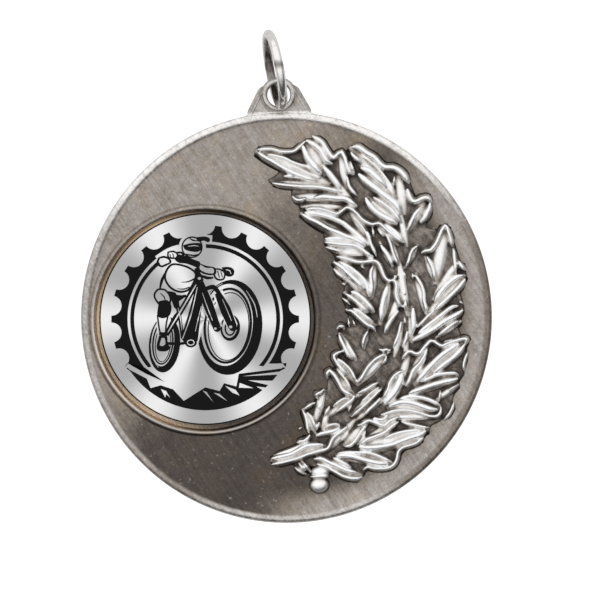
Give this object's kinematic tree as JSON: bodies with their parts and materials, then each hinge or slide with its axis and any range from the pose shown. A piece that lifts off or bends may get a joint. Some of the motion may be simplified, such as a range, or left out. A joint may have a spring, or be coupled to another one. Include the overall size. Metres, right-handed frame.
{
  "type": "sports finisher medal",
  "caption": "Round cast medal with an oak spray in relief, an off-centre printed metal insert, and a jump ring hanging from the lug's eye.",
  "frame": {"origin": "centre of the disc on its flat back face", "axes": "+Z leaves the front face, +Y runs from the disc's centre to the lug and the jump ring, +X to the right as seen from the front"},
  "size_m": [0.05, 0.06, 0.0099],
  "materials": {
    "antique_silver": "antique silver plate on a zinc casting, brushed, dark in the hollows and bright on the crests",
    "adhesive": "pale double-sided foam adhesive",
    "brushed_insert": "turned and brushed aluminium, bright",
    "black_ink": "black printed ink, satin",
    "ring_wire": "nickel-plated steel wire, slightly dulled"
  },
  "bodies": {
    "medal": {"medal_casting": "antique_silver", "adhesive_pad": "adhesive", "insert_disc": "brushed_insert", "insert_artwork": "black_ink"},
    "ring": {"jump_ring": "ring_wire"}
  },
  "joints": [
    {"name": "ring_swing", "type": "hinge", "parent": "medal", "child": "ring", "pos_m": [0, 0.0271, 0.00215], "axis": [0, 0, 1], "range_deg": [-88, 72]}
  ]
}
